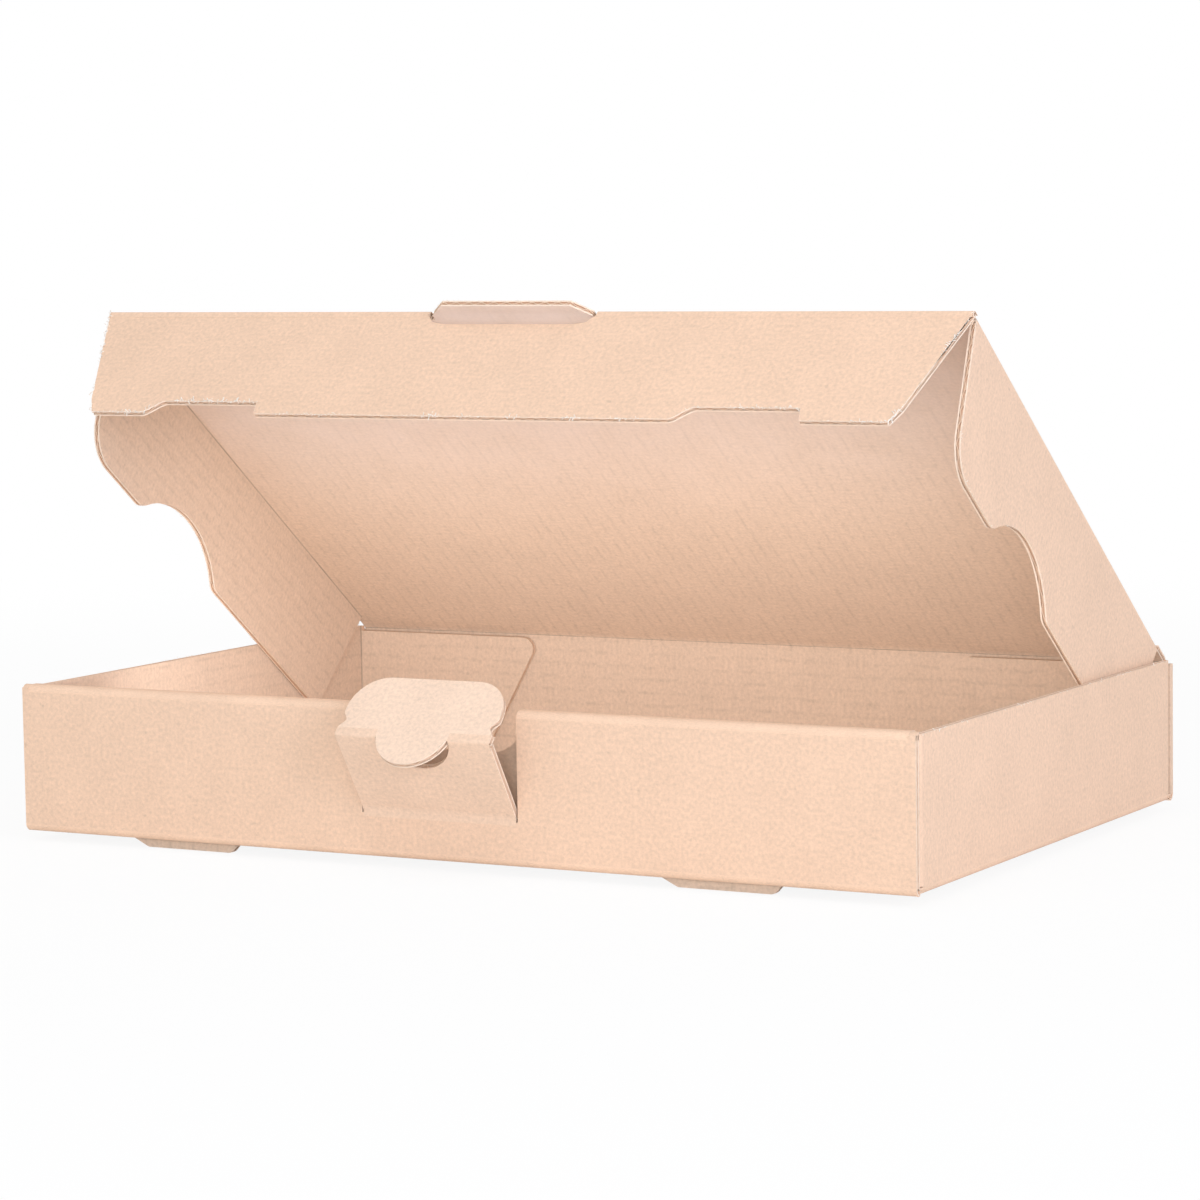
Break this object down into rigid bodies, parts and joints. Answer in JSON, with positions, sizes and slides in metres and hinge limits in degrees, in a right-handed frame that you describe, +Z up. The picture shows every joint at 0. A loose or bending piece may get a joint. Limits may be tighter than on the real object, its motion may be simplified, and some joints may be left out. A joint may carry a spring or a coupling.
{
  "type": "flat mailer box",
  "caption": "Flat folded mailer box in fine-fluted kraft board, lid raised, with side flaps, rollover front wall on feet and a pull-out locking latch.",
  "frame": {"origin": "middle of the floor's underside", "axes": "+X to the right along the box's width, +Y to the back wall with the lid's crease, +Z up"},
  "size_m": [0.228, 0.1653, 0.1248],
  "materials": {
    "kraft_board": "uncoated brown kraft liner over a fine flute, matt, with fibre flecks and open flutes at the cut edges"
  },
  "bodies": {
    "tray": {"tray": "kraft_board"},
    "lid": {"lid": "kraft_board"},
    "tuck_flap": {"tuck_flap": "kraft_board"},
    "latch_plate": {"latch_plate": "kraft_board"},
    "latch_tongue": {"latch_tongue": "kraft_board"}
  },
  "joints": [
    {"name": "lid_hinge", "type": "hinge", "parent": "tray", "child": "lid", "pos_m": [0, 0.07375, 0.03375], "axis": [-1, 0, 0], "range_deg": [-37.5, 97.5]},
    {"name": "tuck_flap_fold", "type": "hinge", "parent": "lid", "child": "tuck_flap", "pos_m": [0, -0.03772, 0.11928], "axis": [-1, 0, 0], "range_deg": [-18, 46.8]},
    {"name": "latch_hinge", "type": "hinge", "parent": "tray", "child": "latch_plate", "pos_m": [-0.001, -0.07375, 0.0109], "axis": [1, 0, 0], "range_deg": [-32, 58]},
    {"name": "tongue_fold", "type": "hinge", "parent": "latch_plate", "child": "latch_tongue", "pos_m": [-0.001, -0.08493, 0.02879], "axis": [1, 0, 0], "range_deg": [-13, 77]}
  ],
  "couplings": [
    {"joint": "tuck_flap_fold", "follows": "lid_hinge", "ratio": 0.48}
  ]
}
